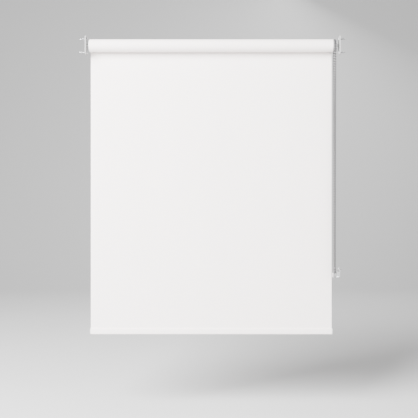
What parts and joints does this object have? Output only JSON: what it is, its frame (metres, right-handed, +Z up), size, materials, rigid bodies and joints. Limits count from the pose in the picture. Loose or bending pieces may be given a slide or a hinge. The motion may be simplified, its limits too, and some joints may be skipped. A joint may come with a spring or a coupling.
{
  "type": "roller blind",
  "caption": "Chain-operated roller blind: cloth on a tube between two side brackets, bottom bar in a hem, bead chain loop with a safety clip.",
  "frame": {"origin": "On the roller's axis, on the mounting face of the drive-side bracket, the face that lies on the recess wall", "axes": "+X along the roller from the idle side to the drive side, +Y towards the window, +Z up"},
  "size_m": [0.6186, 0.0329, 0.695],
  "materials": {
    "cloth": "plain woven, matt",
    "spline_plastic": "matt",
    "white_paint": "satin powder coat",
    "screw_steel": "bright zinc plate",
    "hub_plastic": "satin",
    "clutch_plastic": "satin",
    "wheel_plastic": "satin",
    "spring_steel": "oiled",
    "tube_aluminium": "mill finish",
    "bar_aluminium": "mill finish",
    "cap_plastic": "matt",
    "pin_steel": "turned",
    "chain_plastic": "smooth",
    "connector_plastic": "smooth",
    "clip_plastic": "translucent"
  },
  "bodies": {
    "mounting": {"drive_bracket": "white_paint", "idle_bracket": "white_paint", "drive_screw_upper": "screw_steel", "drive_screw_lower": "screw_steel", "idle_screw_upper": "screw_steel", "idle_screw_lower": "screw_steel", "clutch_hub": "hub_plastic", "hub_clip": "spring_steel", "chain": "chain_plastic", "safety_clip": "clip_plastic", "safety_clip_screw": "screw_steel", "fabric_panel": "cloth"},
    "roller": {"drive_crown": "clutch_plastic", "wrap_spring_1": "spring_steel", "wrap_spring_2": "spring_steel", "wrap_spring_3": "spring_steel", "roller_tube": "tube_aluminium", "fabric_spline": "spline_plastic", "fabric_roll": "cloth", "idle_plug": "clutch_plastic", "idle_plug_cap": "clutch_plastic", "idle_pin_spring": "spring_steel"},
    "wheel": {"chain_wheel": "wheel_plastic"},
    "pin": {"idle_pin": "pin_steel"},
    "hem": {"hem_pocket": "cloth", "bottom_bar": "bar_aluminium", "bar_cap_drive": "cap_plastic", "bar_cap_idle": "cap_plastic"},
    "connector": {"chain_connector": "connector_plastic"}
  },
  "joints": [
    {"name": "roller_turn", "type": "hinge", "parent": "mounting", "child": "roller", "pos_m": [0, 0, 0], "axis": [1, 0, 0], "range_deg": [0, 2160]},
    {"name": "wheel_turn", "type": "hinge", "parent": "mounting", "child": "wheel", "pos_m": [0, 0, 0], "axis": [1, 0, 0], "range_deg": [0, 2160]},
    {"name": "hem_lift", "type": "slide", "parent": "mounting", "child": "hem", "axis": [0, 0, 1], "range_m": [0, 0.5961], "deforming": ["fabric_panel"]},
    {"name": "connector_travel", "type": "slide", "parent": "mounting", "child": "connector", "axis": [0, 0.0158, 0.9999], "range_m": [0, 0.504]},
    {"name": "idle_pin_slide", "type": "slide", "parent": "roller", "child": "pin", "axis": [1, 0, 0], "range_m": [0, 0.0042], "stiffness_N_per_m": 250, "springref_m": -0.004, "deforming": ["idle_pin_spring"]}
  ],
  "couplings": [
    {"joint": "wheel_turn", "follows": "roller_turn", "ratio": 1},
    {"joint": "hem_lift", "follows": "roller_turn", "m_per_rad": 0.01581},
    {"joint": "connector_travel", "follows": "roller_turn", "m_per_rad": 0.013369}
  ]
}
